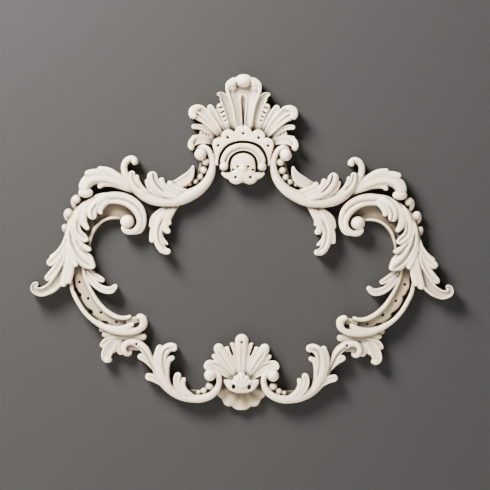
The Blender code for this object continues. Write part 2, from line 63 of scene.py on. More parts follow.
# Leaves: section, height at the root and at the tip, then (x, z, width) along the midrib.
wingLeaves = {
    "mainScroll": ("round", 29, 29, (
        (-95, -19, 5), (-89, -14.5, 8), (-80, -13, 10), (-71, -17.5, 11), (-64.5, -29, 12),
        (-60.5, -45, 13), (-62.5, -61, 15.5), (-72, -82, 18), (-87, -98, 21), (-108, -110, 25),
        (-132, -121, 21), (-155, -124, 18), (-177, -120, 22), (-197, -111, 24), (-213, -98, 22),
        (-228, -81, 17), (-237.5, -63, 14), (-237.5, -49, 13), (-231, -40, 13), (-222, -38, 13),
        (-216, -43.5, 12), (-216.5, -49, 9))),
    "firstLobe": ("soft", 26, 31, ((-104, -102, 5), (-124, -99, 9), (-140, -93, 11), (-150.5, -83, 10))),
    "secondLobe": ("soft", 27, 33, (
        (-110, -108, 5), (-134, -105, 10), (-152, -97, 12), (-162, -86, 12), (-163, -75, 11))),
    "thirdLobe": ("soft", 28, 37, (
        (-116, -115, 5), (-142, -112, 13), (-162, -103, 18), (-175, -90, 21), (-181, -76, 22),
        (-181.5, -63, 18))),
    "thirdLobeTooth": ("soft", 27, 31, (
        (-142, -116, 5), (-168, -109, 10), (-185, -96, 13), (-194, -79, 9))),
    "fourthLobe": ("soft", 28, 32, (
        (-178, -113, 5), (-196, -103, 10), (-207, -91, 11), (-212.5, -80, 10), (-213, -70, 8.5))),
    "fifthLobe": ("soft", 29, 34, (
        (-184, -114, 5), (-206, -103, 12), (-218, -89, 13), (-222.5, -75, 13), (-222, -62, 12))),
    "horn": ("leftRim", 24, 34, (
        (-153, -90, 8), (-137, -88, 15), (-121, -82.5, 22), (-109.5, -73.5, 20), (-103, -62.5, 12),
        (-99.5, -50.5, 3))),
    "hornFloor": ("flat", 21, 21, ((-158, -96, 12), (-138, -93, 16), (-118, -88, 16), (-106, -77, 12))),
    "beadChannel": ("flat", 7, 7, (
        (-76, -30, 14), (-77, -45, 18), (-80, -60, 17), (-87, -74, 16), (-98, -84, 14), (-112, -90, 8))),
    "beadChannelRim": ("soft", 15, 14, ((-83.5, -36, 6), (-85, -52, 6.5), (-89, -65, 6.5), (-97, -76, 6))),
    "upperLeaf": ("soft", 26, 34, (
        (-214, -103, 14), (-236, -90, 26), (-256, -80, 32), (-276, -74, 31), (-294, -75, 28),
        (-309, -82, 26), (-317, -94, 24), (-315, -106, 24))),
    "upperLeafFirstTooth": ("soft", 27, 32, (
        (-230, -92, 8), (-250, -76, 15), (-270, -64.5, 17), (-292, -57.5, 9))),
    "upperLeafSecondTooth": ("soft", 28, 34, (
        (-250, -80, 8), (-276, -70, 14), (-299, -66, 14), (-317, -69, 10))),
    "upperLeafRidge": ("soft", 29, 35, (
        (-232, -96, 6), (-256, -84, 10), (-280, -78, 12), (-300, -80, 12), (-313, -90, 10),
        (-316, -102, 8))),
    "upperLeafLowerTooth": ("soft", 25, 29, (
        (-222, -101, 8), (-246, -91, 14), (-266, -86.5, 16), (-281, -87.5, 15), (-290, -97, 7))),
}

hangingLeaves = {
    "outerTooth": ("soft", 19, 23, (
        (-144, -128, 12), (-165, -145, 16), (-179, -159, 15), (-186, -175, 6))),
    "secondTooth": ("soft", 21, 27, (
        (-150, -136, 12), (-170, -158, 14), (-180, -184, 13), (-182, -206, 10))),
    "middleLobe": ("soft", 21, 34, (
        (-147, -132, 14), (-163, -156, 17), (-171, -182, 19), (-168, -205, 18), (-158, -221, 15),
        (-144, -224, 10))),
    "middleLobeTooth": ("soft", 24, 28, (
        (-158, -158, 8), (-165.5, -180, 9), (-162.5, -196, 9), (-150, -210, 6))),
    "innerLobe": ("soft", 20, 28, (
        (-138, -128, 12), (-149, -147, 14), (-155, -165, 15), (-154, -179, 14), (-145.5, -185, 9))),
    "innerLobeTooth": ("soft", 19, 25, (
        (-132, -126, 12), (-143, -145, 12), (-149, -160, 11), (-145.5, -170, 6))),
    "innerFloor": ("flat", 17, 17, (
        (-140, -126, 20), (-152, -148, 22), (-159, -170, 18), (-160, -190, 12))),
}

cornerLeaves = {
    "cove": ("flat", 12, 12, (
        (-218, -150, 22), (-243, -142, 32), (-266, -140, 34), (-287, -150, 34), (-303, -168, 30),
        (-314, -195, 22), (-318, -220, 18))),
    "coveRim": ("soft", 21, 18, (
        (-242, -158.5, 4), (-255, -156.5, 5), (-268, -157.5, 5), (-280, -162, 5.5), (-291, -170.5, 6),
        (-299, -181, 6.5), (-304.5, -195, 6.5), (-308, -210, 5.5), (-309, -222, 4))),
    "outerRail": ("round", 27, 27, (
        (-302, -118, 4), (-288, -113, 9), (-270, -112.5, 15), (-255, -112, 17), (-235, -115, 16),
        (-216, -124.5, 14), (-203.5, -138, 12), (-198, -155, 10), (-198.5, -170, 9),
        (-205, -181.5, 9), (-218, -187, 6))),
    "innerRail": ("round", 27, 31, (
        (-290, -131, 5), (-270, -125, 7), (-250, -124.5, 8), (-232, -129.5, 10),
        (-218.5, -139.5, 12), (-209, -153, 13), (-206.5, -167, 13), (-211.5, -178, 13.5),
        (-222, -184, 12), (-233.5, -182.5, 12), (-241.5, -173, 9))),
    "leafMass": ("soft", 26, 25, (
        (-258, -112, 14), (-284, -117, 20), (-308, -130, 24), (-328, -150, 27), (-340, -176, 28),
        (-344, -204, 26), (-345, -230, 20))),
    "firstLobe": ("soft", 28, 31, (
        (-258, -121, 6), (-272, -124, 11), (-282, -132, 13), (-287, -142, 13), (-282.5, -149, 7))),
    "secondLobe": ("soft", 28, 35, (
        (-260, -113, 8), (-284, -119, 14), (-297, -131, 19), (-302, -147, 20), (-298, -160, 17))),
    "thirdLobe": ("soft", 28, 32, (
        (-288, -112, 8), (-308, -127, 13), (-318, -147, 15), (-318.5, -166, 15), (-309, -181, 8))),
    "fourthLobe": ("soft", 28, 32, (
        (-310, -121, 8), (-327, -143, 14), (-334, -166, 17), (-330, -187, 19), (-317, -199, 16),
        (-309.5, -203, 8))),
    "flapUpperLobe": ("soft", 28, 33, (
        (-332, -148, 8), (-345, -178, 14), (-341, -199, 18), (-327, -211, 15), (-312, -219, 12),
        (-303, -221, 6))),
    "flap": ("soft", 27, 35, (
        (-343, -166, 8), (-347, -193, 16), (-338, -216, 24), (-324, -233, 31), (-309, -246.5, 28),
        (-296, -257, 7))),
    "flapLowerLobe": ("soft", 27, 33, (
        (-350, -190, 8), (-348, -217, 13), (-340, -238, 14), (-332, -255, 9))),
    "upperHusk": ("soft", 18, 25, (
        (-331, -144, 4), (-338.5, -133, 9), (-338, -121, 13), (-330.5, -115, 12.5))),
    "middleHusk": ("soft", 17, 24, (
        (-346, -169, 4), (-353, -158, 9), (-353, -149, 13), (-345, -143.5, 12.5))),
    "lowerHusk": ("soft", 15, 21, ((-352, -190, 4), (-357.5, -182, 9), (-357, -174, 9))),
}

sideLeaves = {
    "topTooth": ("soft", 25, 27, ((-354, -196, 8), (-361, -216, 10), (-373, -230, 11), (-386, -238, 8))),
    "firstLeaf": ("gouged", 26, 29, (
        (-351, -186, 8), (-358, -214, 14), (-370, -233, 19), (-390.5, -252, 15))),
    "secondLeaf": ("gouged", 27, 29, (
        (-350, -202, 10), (-360, -236, 16), (-374, -261, 18), (-394.5, -283, 12))),
    "hookedLeaf": ("rimmed", 28, 33, (
        (-347, -212, 14), (-355, -252, 21), (-369, -281, 25), (-389, -301, 21), (-406, -306, 18),
        (-417.5, -300, 14), (-415, -291, 10), (-408.5, -292.5, 8))),
    "fourthLeaf": ("soft", 29, 32, (
        (-346, -216, 10), (-350, -252, 15), (-356, -277, 16), (-361, -295.5, 14))),
    "fifthLeaf": ("soft", 29, 32, (
        (-342, -220, 10), (-342, -250, 13), (-346, -272, 14), (-350, -289, 12))),
    "innerUpperLeaf": ("gouged", 19, 26, (
        (-320, -246, 8), (-307, -264, 13), (-292, -276, 13.5), (-276.5, -284, 8.5))),
    "innerLowerLeaf": ("gouged", 19, 32, (
        (-320, -254, 6), (-309.5, -273, 11), (-296, -289, 14), (-280, -299.5, 14.5), (-263, -301.5, 14),
        (-251.5, -291, 9))),
}

bandLeaves = {
    "outerRail": ("round", 23, 30, (
        (-345, -276, 7), (-341.5, -299, 8), (-330, -325, 8.5), (-316, -346, 8.5), (-300, -361.5, 9),
        (-280, -373.5, 12), (-256, -381.5, 15.5), (-230, -384, 16.5), (-210, -380, 17), (-199, -370.5, 17),
        (-199, -360, 16.5), (-205.5, -355, 12.5), (-211.5, -356.5, 9))),
    "tongue": ("soft", 24, 30, (
        (-280, -373, 6), (-256, -379.5, 12), (-236, -378.5, 14), (-216.5, -367.5, 7))),
    "channel": ("flat", 5, 5, (
        (-333, -255, 20), (-333, -282, 26), (-322, -310, 30), (-304, -336, 30), (-282, -357, 28),
        (-256, -368, 22), (-232, -366, 16), (-212, -362, 14))),
    "ribbon": ("flat", 15, 16, (
        (-330, -240, 14), (-329, -262, 17), (-324.5, -284, 21), (-315, -308, 22), (-300.5, -331, 21),
        (-282, -350, 19), (-263, -362, 17), (-244, -367.5, 13), (-222, -366, 8))),
    "firstScallop": ("flat", 15, 15, ((-330, -262, 10), (-332, -286, 10), (-328, -304, 8))),
    "secondScallop": ("flat", 15, 15, ((-320, -316, 8), (-313.5, -327.5, 9), (-305, -338, 8))),
    "thirdScallop": ("flat", 15, 15, ((-298.5, -347.5, 8), (-289.5, -355, 9), (-278, -362.5, 8))),
    "innerRail": ("round", 22, 25, (
        (-321, -238, 6), (-319, -262, 6.5), (-312.5, -284, 7), (-300.5, -308, 8),
        (-284.5, -332, 8.5), (-265.5, -348.5, 8.5), (-248, -356.5, 8.5), (-234, -357.5, 8),
        (-222, -353.5, 7))),
    "curlFloor": ("flat", 20, 21, ((-232, -366, 8), (-220, -363, 13), (-207, -360, 16))),
}

linkLeaves = {
    "knobBar": ("soft", 16, 22, (
        (-270, -390, 10), (-240, -396, 12), (-218, -395.5, 12), (-203, -395, 15), (-191.5, -395, 15.5))),
    "upperTooth": ("soft", 16, 18, ((-250, -382, 10), (-272, -381, 14), (-287, -381, 8))),
    "middleTooth": ("soft", 17, 20, ((-236, -392, 14), (-262, -390, 17), (-281, -391.5, 9))),
    "lowerTooth": ("gouged", 18, 22, (
        (-236, -397, 12), (-258, -400.5, 15), (-273, -406, 15), (-283.5, -416, 8))),
    "curledLobe": ("dish", 18, 27, (
        (-240, -398, 10), (-258, -408, 20), (-268.5, -423, 22), (-271, -437, 19), (-263, -442, 12))),
    "innerTooth": ("soft", 19, 22, ((-242, -400, 8), (-254, -412, 10), (-257.5, -428, 7))),
    "sliver": ("soft", 18, 22, ((-236, -397, 8), (-246, -409, 11), (-247.5, -421, 11), (-240, -431, 8))),
}

sprayLeaves = {
    "mainScroll": ("round", 26, 30, (
        (-221, -424, 3.5), (-225, -428.5, 9), (-232, -428.5, 11), (-236.8, -420, 11.5), (-234, -410.5, 12),
        (-222, -405.5, 13), (-207, -410, 16.5), (-194, -421.5, 17), (-184, -437.5, 15), (-175, -455, 13),
        (-166, -473, 15), (-153, -489.5, 20), (-137, -503, 21), (-118, -513, 19), (-98, -518, 16),
        (-78, -517.5, 15), (-60, -510, 14), (-49, -498, 13), (-44.5, -482, 12), (-48, -469, 12),
        (-59, -461.5, 9))),
    "eyeFloor": ("flat", 18, 18, ((-233, -418, 8), (-227, -416.5, 13), (-216, -415, 14), (-203, -419, 10))),
    "outerLeaf": ("gouged", 24, 28, (
        (-163, -478, 6), (-177, -455, 12), (-190, -441, 15), (-208, -432, 12))),
    "tallLeaf": ("soft", 28, 37, (
        (-128, -508, 8), (-146, -495, 14), (-157, -472, 20), (-161.5, -447, 22), (-156.5, -426, 21),
        (-143, -415, 17), (-129.5, -418, 13))),
    "tallLeafOuterLobe": ("soft", 28, 33, (
        (-146, -497, 8), (-161, -478, 12), (-168.5, -456, 13), (-170, -434, 13), (-162.5, -411, 12))),
    "tallLeafInnerLobe": ("soft", 27, 32, (
        (-132, -506, 8), (-145, -492, 11), (-151, -472, 13), (-150.5, -452, 13), (-146, -440, 12),
        (-135, -434.5, 10))),
    "lowLeaf": ("gouged", 26, 29, (
        (-146, -500, 6), (-160, -488, 11), (-174, -478.5, 15), (-186, -475, 15), (-193, -475, 13))),
    "innerLeaf": ("gouged", 28, 34, (
        (-96, -518, 6), (-112, -511, 9), (-125, -498, 12), (-130, -483, 14), (-126, -466, 14))),
    "innerLeafLobe": ("soft", 28, 32, (
        (-88, -518, 6), (-102, -511, 9), (-113, -502, 11), (-118.5, -489, 12), (-115, -476, 9.5))),
    "beadChannel": ("flat", 7, 7, (
        (-108, -502.5, 3), (-96, -505, 8), (-84, -507, 11), (-70, -502, 15), (-60, -489, 15),
        (-58, -477, 12))),
}

shellLeaves = {
    "innerTooth": ("soft", 24, 30, ((-5, -478, 8), (-13, -440, 14), (-20.5, -405, 10.5))),
    "slantingLobe": ("soft", 23, 35, (
        (-8, -482, 12), (-24, -452, 20), (-37.5, -432, 24), (-51, -408.5, 17))),
    "slantingInnerRib": ("soft", 24, 31, ((-8, -478, 8), (-20, -444, 13), (-31, -413, 11))),
    "slantingOuterRib": ("soft", 23, 29, ((-12, -474, 8), (-34, -449, 14), (-59, -430, 8))),
    "sideTooth": ("soft", 23, 28, ((-14, -478, 8), (-36, -453, 13), (-56, -441, 9))),
    "sideLobe": ("leftRim", 23, 31, (
        (-12, -482, 10), (-34, -464, 18), (-52, -453, 20), (-66, -450, 17), (-72.5, -459, 9))),
}

shellCentreLeaves = {
    "centreLobe": ("soft", 24, 36, ((0, -485, 14), (0, -445, 22), (0, -412, 27), (0, -388, 26))),
}

crestLeaves = {
    "topLobeRim": ("soft", 28, 38, (
        (-16, 22, 4), (-18, 46, 4), (-22.5, 70, 4.5), (-28.5, 88, 6), (-32, 101, 8), (-30, 112, 12),
        (-21, 117, 17), (-10, 119, 18))),
    "topLobeFold": ("soft", 24, 27, ((-7, 26, 4), (-10, 50, 5), (-14, 75, 7), (-19, 92, 8), (-23, 101, 7))),
    "firstLeaf": ("hollow", 25, 34, (
        (-21, 18, 10), (-26, 44, 16), (-32, 68, 19), (-38.5, 84, 19), (-45, 91.5, 12), (-53.5, 93.5, 4))),
    "ribbedLeaf": ("soft", 24, 31, (
        (-29, 16, 8), (-36, 40, 11), (-42, 56, 13), (-46.5, 66, 14), (-48, 74.5, 12))),
    "ribbedLeafEdge": ("soft", 23, 26, ((-35, 16, 8), (-43, 40, 10), (-50, 55, 9), (-54, 64, 6))),
    "secondLeaf": ("gouged", 23, 31, ((-38, 14, 9), (-50, 38, 14), (-60, 55, 16), (-70, 71, 12))),
    "slantingLobe": ("dish", 26, 34, (
        (-44, 8, 12), (-60, 30, 21), (-76, 46, 27), (-90, 56, 31), (-101, 58.5, 28))),
    "slantingLobeRoll": ("soft", 33, 37, (
        (-74, 61, 4), (-84, 66, 8), (-94, 65, 13), (-100.5, 59, 17), (-101, 51, 16), (-95, 45, 9))),
    "slantingLobeMiddleRib": ("soft", 25, 33.5, ((-50, 12, 4), (-66, 34, 5), (-82, 50, 5), (-94, 57, 5))),
    "slantingLobeLowerRib": ("soft", 25, 33, ((-54, 10, 4), (-71, 29, 5), (-86, 42, 5), (-95, 50, 4))),
    "thirdLeaf": ("gouged", 22, 28, ((-52, 7, 9), (-70, 20, 12), (-88, 27.5, 12), (-104, 27.5, 9))),
    "ribbedSliver": ("soft", 20, 24, ((-54, 2, 8), (-70, 10, 10), (-88, 16.5, 7))),
    "lowestLobeTooth": ("soft", 21, 26, ((-58, 3, 7), (-82, 8, 9), (-103.5, 6.5, 6))),
    "lowestLobe": ("dish", 23, 30, (
        (-56, -4, 14), (-74, 1, 16), (-91, 1, 18), (-103, -7, 15), (-102.5, -20, 10))),
    "smallShellWing": ("soft", 37, 33, (
        (-6, -64, 12), (-18, -70, 15), (-30, -70, 14), (-38.5, -67.5, 8), (-43.5, -64.5, 3))),
    "lowestLobeRoll": ("soft", 28, 34, (
        (-88, 7, 4), (-98, 4.5, 7), (-104, -2, 10), (-105, -10, 12), (-101.5, -18, 10))),
}

crestCentreLeaves = {
    "topLobe": ("dish", 25, 32, (
        (0, 10, 32), (0, 40, 34), (0, 70, 46), (0, 92, 58), (0, 108, 66), (0, 121, 58))),
    "slotBank": ("soft", 27, 30, ((0, 20, 6), (0, 50, 11), (0, 75, 16), (0, 95, 17.5))),
    "backing": ("flat", 14, 14, ((0, -62, 90), (0, -30, 94), (0, 0, 84), (0, 14, 50))),
    "archBed": ("flat", 29, 29, (
        (-37.5, -58, 18), (-37, -42, 18), (-28, -25, 18), (0, -13.5, 18), (28, -25, 18),
        (37, -42, 18), (37.5, -58, 18))),
}

# Balls and volute eyes: x, z, half width, half height, height above the wall.
wingBalls = ((-85.5, -27.5, 12.2, 12.6, 36), (-217.5, -43.5, 6, 7, 35), (-315, -107, 15, 10, 36))
cornerBalls = (
    (-231, -164, 14.2, 13.6, 37), (-333, -120, 9.5, 9.5, 27), (-349.5, -148, 9.5, 9.5, 26),
    (-357, -176.5, 6.5, 7.5, 22))
linkBalls = ((-269, -441, 9.5, 7, 27),)
sprayBalls = ((-63, -470.5, 11.8, 12, 37),)
crestBalls = ((-37.5, -52.5, 9.4, 9.4, 41), (-24, 108.5, 11.5, 12, 34.5))
crestCentreBalls = ((0, 120, 18, 13, 43), (0, -57, 10, 12.5, 39.5))

# Plates: middle, outline, height at the crown and at the rim, roundness of the edge, flutes (count, depth).
crestCentrePlates = {
    "scallopedPlate": ((0, -25), (
        (0, 31.5), (9, 29), (16, 22), (18.5, 18.5), (23, 21), (31, 22.5), (39, 19), (44.5, 11),
        (46, 7.5), (51, 5.5), (58, 2), (61.5, -6), (61, -14), (58, -24), (55, -36), (51.5, -50),
        (0, -50), (-51.5, -50), (-55, -36), (-58, -24), (-61, -14), (-61.5, -6), (-58, 2),
        (-51, 5.5), (-46, 7.5), (-44.5, 11), (-39, 19), (-31, 22.5), (-23, 21), (-18.5, 18.5),
        (-16, 22), (-9, 29)), 31, 29, 3),
    "disc": ((0, -47), (
        (0, -23.5), (14, -27), (23, -36), (26, -47), (25, -62), (0, -70), (-25, -62), (-26, -47),
        (-23, -36), (-14, -27)), 34.5, 31, 5),
    "smallShell": ((0, -66), (
        (0, -45), (7, -49), (12, -56), (22, -61), (29, -66), (30, -74), (27, -81), (21, -85.5), (13, -87.5),
        (6, -85.5), (0, -83.5), (-6, -85.5), (-13, -87.5), (-21, -85.5), (-27, -81), (-30, -74), (-29, -66),
        (-22, -61), (-12, -56), (-7, -49)), 37.5, 33, 4),
}

shellCentrePlates = {
    "foot": ((0, -490), (
        (0, -541.5), (9, -540.5), (16, -536.5), (20, -533), (25, -534), (32, -531.5), (37, -525),
        (40, -518.5), (46, -514), (49.5, -506), (49, -488), (34, -472), (0, -466), (-34, -472),
        (-49, -488), (-49.5, -506), (-46, -514), (-40, -518.5), (-37, -525), (-32, -531.5),
        (-25, -534), (-20, -533), (-16, -536.5), (-9, -540.5)), 12, 17, 2.5, (10, 3)),
    "shellBed": ((0, -472), (
        (0, -448), (18, -452), (32, -464), (39, -478), (32, -490), (0, -496), (-32, -490), (-39, -478),
        (-32, -464), (-18, -452)), 22, 20, 3),
    "crescent": ((0, -488), (
        (0, -506), (13, -504.5), (24, -500), (32, -491), (35.5, -480.5), (28, -479), (18, -480), (0, -478),
        (-18, -480), (-28, -479), (-35.5, -480.5), (-32, -491), (-24, -500), (-13, -504.5)), 33, 31, 5),
    "palmette": ((0, -485), (
        (0, -463.5), (5.5, -465.5), (8.5, -470), (13, -471.5), (16, -475.5), (17, -479), (20.5, -481.5),
        (20.5, -486), (15, -493), (0, -498), (-15, -493), (-20.5, -486), (-20.5, -481.5), (-17, -479),
        (-16, -475.5), (-13, -471.5), (-8.5, -470), (-5.5, -465.5)), 37.5, 34, 3.5),
}

# Beads: first and last (x, z, radius), the point the row bends towards, count, height.
wingBeads = ((-74.5, -42.5, 8.5), (-107, -87, 5.2), (-81, -81), 5, 27)
sprayBeads = ((-63, -493, 8.6), (-86, -506, 4.8), (-75.5, -506.5), 3, 26)

# Mouldings along an arc: middle, half width, half height, width, height, reach in degrees.
crestArcs = (((0, -47), 41.5, 37.5, 10, 35, 86), ((0, -47), 32.0, 28.0, 7.5, 32, 86))

# Grooves cut into the carving: depth and path (x, z, width), mirrored unless on the centre line.
grooves = {
    "thirdLobeCrease": (4, ((-180, -62, 4), (-178.5, -76, 5), (-171, -91, 5), (-156, -105, 4))),
    "secondLobeCrease": (3, ((-297, -165, 5), (-301, -145, 6), (-291, -127, 4))),
    "fourthLobeCrease": (3, ((-312, -201, 5), (-329, -185, 6), (-331, -158, 4))),
    "flapCrease": (4, ((-302, -256, 6), (-323, -240, 8), (-340, -213, 7), (-347, -180, 4))),
    "flapUpperCrease": (3, ((-303, -236, 6), (-320, -221, 7), (-336, -200, 5))),
    "middleLobeCrease": (3, ((-150, -223, 4), (-164, -208, 5), (-168.5, -184, 5), (-159, -154, 4))),
    "sprayCrease": (3, ((-216, -409, 4), (-197, -423, 5), (-184, -444, 5), (-172, -470, 4))),
    "tallLeafCrease": (3, ((-135, -415, 4), (-152, -421, 6), (-157, -445, 6), (-151, -478, 4))),
    "centreLobeDot": (6, ((0, -403.2, 4.5), (0, -405.2, 4.5))),
    "centreLobeCrease": (1.2, ((0, -410, 4), (0, -430, 6), (0, -460, 4))),
    "slantingCrease": (1.8, ((-46, -423, 3), (-39, -434, 5), (-28, -450, 5), (-18, -466, 4))),
    "sideLobeCrease": (1.6, ((-60, -446, 5), (-44, -452, 5), (-24, -468, 4))),
    "footSlit": (10, ((-206, -367, 3), (-209, -372, 5), (-216, -376, 3))),
    "shellGap": (14, ((-25.5, -405, 3.5), (-22, -418, 3.5), (-17, -431, 3))),
    "palmetteRib1": (1.2, ((-1.5, -488, 3), (-4, -478, 4), (-7.5, -467, 4))),
    "palmetteRib2": (1.2, ((-4, -488, 3), (-11, -482, 4), (-17, -476, 4))),
    "fifthLobeCrease": (2.5, ((-222.5, -64, 4), (-218, -84, 4.5), (-204, -100, 4))),
    "archOuterGap": (11, (
        (-47.5, -54, 3.6), (-47.5, -42, 3.8), (-43.5, -27, 4), (-33, -12.5, 4), (-17, -5, 4), (0, -3, 4),
        (17, -5, 4), (33, -12.5, 4), (43.5, -27, 4), (47.5, -42, 3.8), (47.5, -54, 3.6))),
    "archInnerGap": (11, (
        (-27.5, -64, 3.6), (-27.5, -46, 3.8), (-24, -35, 3.8), (-15, -26.5, 3.8), (0, -22.5, 3.8),
        (15, -26.5, 3.8), (24, -35, 3.8), (27.5, -46, 3.8), (27.5, -64, 3.6))),
    "archBallGap": (6, ((-46, -57, 3), (-38, -60.5, 3.2), (-29, -57, 3), (-27, -48, 3))),
    "lobeSlot": (9, ((0, 26, 3), (0, 50, 6), (0, 70, 10), (0, 86, 12), (0, 94, 10))),
    "ribbedNotch1": (4.5, ((-50, 64.5, 3), (-41, 68, 3))),
    "ribbedNotch2": (4.5, ((-46, 55, 3), (-38, 58.5, 3))),
    "ribbedNotch3": (4, ((-42, 47, 2.8), (-35.5, 49.5, 2.8))),
    "ribbedNotch4": (3.5, ((-38, 39.5, 2.6), (-32.5, 42, 2.6))),
    "sliverNotch1": (2.5, ((-83, 17, 2.2), (-79, 13, 2.2))),
    "sliverNotch2": (2.5, ((-76, 14, 2.2), (-73, 10, 2.2))),
    "sliverNotch3": (2, ((-70, 11.5, 2.2), (-67, 7.5, 2.2))),
}

# Small holes, dimples and notches pressed into the finished carving: x, z, half width, half height, depth.
drilled = {
    "scallopHoles": ((0, 14.5, 2.3, 2.3, 6), (31, 6, 2.4, 2.4, 6), (50, -10, 2.3, 2.3, 6)),
    "scallopNicks": ((18.5, 19.5, 2.0, 2.4, 4), (45, 7.5, 2.0, 2.0, 4)),
    "shellHoles": ((15, -73.5, 2.4, 2.4, 6), (10.5, -52, 2.2, 2.0, 5), (20, -58.5, 2.4, 1.8, 5)),
    "knobDimples": ((14, 113, 2.2, 3.0, 3),),
    "ribbonHoles": ((327, -286, 2.4, 2.4, 5), (309, -319, 2.4, 2.4, 5), (283, -347, 2.4, 2.4, 5),
                    (252, -366, 2.2, 2.2, 5)),
    "ribbonScallops": ((335, -301, 3.6, 3.6, 4), (326, -312, 3.4, 3.4, 4), (304, -345.5, 3.6, 3.6, 4),
                       (273, -368.5, 3.6, 3.6, 4)),
    "eyeHoles": ((211, -409, 2.3, 2.3, 5),),
    "shellDrops": ((15.5, -493, 3.0, 4.4, 9),),
}

casting = {
    "behindWall": 2.0,          # the castings run this far behind the wall before the back is cut, mm
    "drawBack": 0.1,            # the sheets are drawn back this far before they are flattened there, m
    "curveSteps": 40,           # points of a smooth curve for each point of its path
    "arcPoints": 15,            # points of the path of an arc
    "step": 1.0,                # the finest step of the carving, mm
    "softenShare": 0.5,         # how far a point moves to the middle of its neighbours in each round
    "softenRounds": 3,
    "mostTriangles": 190000,
    "creaseAngle": 70,          # edges sharper than this stay sharp, degrees
}


def sectionRelief(section, across):
    places, relief, fall = sections[section]
    edge = np.interp(np.clip(across, places[0], places[-1]), places, relief)
    for left, right, low, high in zip(places, places[1:], relief, relief[1:]):
        inside = (across >= left) & (across <= right)
        turn = (1 - np.cos(math.pi * (across - left) / (right - left))) / 2
        edge = np.where(inside, low + (high - low) * turn, edge)
    beyond = np.maximum((across - places[-1]) / (1 - places[-1]), (places[0] - across) / (places[0] + 1))
    return edge * np.sqrt(np.clip(1 - np.clip(beyond, 0, 1) ** 2, 0, 1)), fall


# A smooth curve through (x, z, width) points, and the way walked along it.
def midribCurve(points):
    rough = np.array(points, float)
    reached = np.concatenate(([0.0], np.cumsum(np.hypot(np.diff(rough[:, 0]), np.diff(rough[:, 1])))))
    if len(points) > 2:
        slopes = np.gradient(rough, reached, axis=0)
    else:
        slopes = np.repeat(np.diff(rough, axis=0) / reached[-1], 2, axis=0)
    fine = np.linspace(0.0, reached[-1], casting["curveSteps"] * len(points))
    left = np.clip(np.searchsorted(reached, fine, side="right") - 1, 0, len(points) - 2)
    span = (reached[left + 1] - reached[left])[:, None]
    t = (fine - reached[left])[:, None] / span
    curve = ((2 * t**3 - 3 * t**2 + 1) * rough[left] + (t**3 - 2 * t**2 + t) * span * slopes[left]
             + (3 * t**2 - 2 * t**3) * rough[left + 1] + (t**3 - t**2) * span * slopes[left + 1])
    walked = np.concatenate(([0.0], np.cumsum(np.hypot(np.diff(curve[:, 0]), np.diff(curve[:, 1])))))
    return curve, walked


def readPoints(piece):
    co = np.empty(len(piece.data.vertices) * 3)
    piece.data.vertices.foreach_get("co", co)
    return co.reshape(-1, 3)


def writePoints(piece, co):
    piece.data.vertices.foreach_set("co", np.ascontiguousarray(co, float).ravel())
    piece.data.update()


leafGrid = {
    "acrossLines": 24,
    "rootFade": 8.0,            # how far a leaf's root sinks into the carving, mm
    "step": 1.3,                # between the lines along a leaf, mm
    "spareLines": 12,
    "tipLines": 8,              # lines that go round the tip
    "tipShare": 0.45,           # the tip's radius is at most this share of the length
    "tipWidth": 0.02,           # what is left of the width at the very tip
    "tipFall": 0.8,             # how fast the relief fades towards the tip
    "fadeLength": 24,           # it sinks over this length, mm
    "fadeShare": 0.4,           # but at most this share of the leaf
}


# A grid bent along the leaf's midrib and pressed to its section.
def addLeaf(name, section, rootHeight, tipHeight, points, fade=None):
    curve, walked = midribCurve(points)
    length = walked[-1]
    endRadius = min(points[-1][2] / 2, leafGrid["tipShare"] * length)
    alongLines = int(length / leafGrid["step"]) + leafGrid["spareLines"]
    bpy.ops.mesh.primitive_grid_add(
        x_subdivisions=alongLines, y_subdivisions=leafGrid["acrossLines"], size=2)
    leaf = bpy.context.object
    leaf.name = name
    co = readPoints(leaf)
    share = (co[:, 0] + 1) / 2
    across = co[:, 1]
    endShare = leafGrid["tipLines"] / alongLines
    turn = np.clip((share - (1 - endShare)) / endShare, 0, 1)
    body = np.clip(share / (1 - endShare), 0, 1) * (length - endRadius)
    along = body + endRadius * np.sin(turn * math.pi / 2)
    x, z, width = (np.interp(along, walked, curve[:, k]) for k in range(3))
    headX = np.interp(along, walked, np.gradient(curve[:, 0]))
    headZ = np.interp(along, walked, np.gradient(curve[:, 1]))
    size = np.hypot(headX, headZ)
    narrowing = np.maximum(np.cos(turn * math.pi / 2), leafGrid["tipWidth"])
    relief, fall = sectionRelief(section, -across)
    half = width / 2 * narrowing * across
    height = rootHeight + (tipHeight - rootHeight) * along / length
    height = height - fall * width * (1 - relief * narrowing ** leafGrid["tipFall"])
    if fade is None:
        fade = 0 if section == "flat" else leafGrid["rootFade"]
    fadeLength = min(leafGrid["fadeLength"], leafGrid["fadeShare"] * length)
    height = height - fade * np.clip(1 - along / fadeLength, 0, 1) ** 2
    placed = np.stack((x - headZ / size * half, -height, z + headX / size * half), axis=1)
    writePoints(leaf, placed * mm)
    return leaf


plateGrid = {
    "step": 1.2,                # between the lines round a plate, mm
    "outStep": 1.0,             # between the lines from its middle to its edge, mm
    "spareLines": 8,
}


